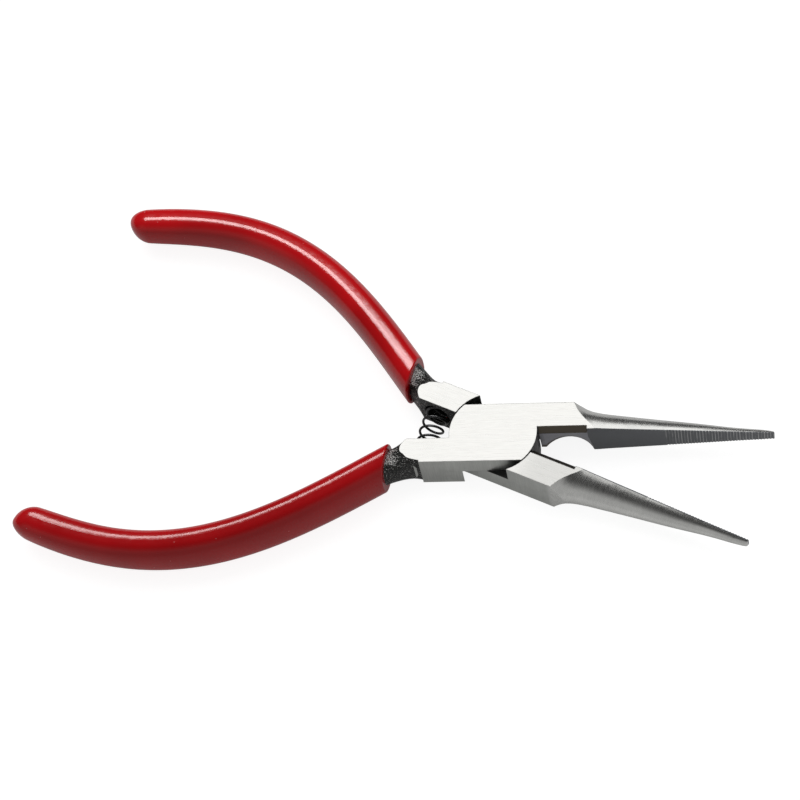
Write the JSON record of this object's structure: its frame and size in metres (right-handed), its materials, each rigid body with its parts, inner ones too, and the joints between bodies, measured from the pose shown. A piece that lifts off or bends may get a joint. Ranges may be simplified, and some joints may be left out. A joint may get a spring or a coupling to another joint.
{
  "type": "long-nose pliers",
  "caption": "Lap-joint hand pliers with long tapering half-round jaws, a wire cutter in the throat, bowed dipped handles and a coil spring that holds them open.",
  "frame": {"origin": "on the pivot axis, in the plane of the head's back ground face", "axes": "+X from the pivot to the jaw tips, midway between the open jaws; +Y to the upper jaw; +Z out of the head's front face"},
  "size_m": [0.1449, 0.0844, 0.01],
  "materials": {
    "steel": "ground satin steel, black as-forged necks",
    "grip": "glossy dipped plastic",
    "rivet": "ground flush with the head",
    "spring": "black oil-finished spring wire"
  },
  "bodies": {
    "front_half": {"front_lever": "steel", "front_grip": "grip", "pivot_rivet": "rivet", "return_spring": "spring"},
    "back_half": {"back_lever": "steel", "back_grip": "grip"}
  },
  "joints": [
    {"name": "pivot", "type": "hinge", "parent": "front_half", "child": "back_half", "pos_m": [0, 0, 0.0041], "axis": [0, 0, 1], "range_deg": [-10, 25], "stiffness_Nm_per_rad": 0.19, "deforming": ["return_spring"]}
  ]
}
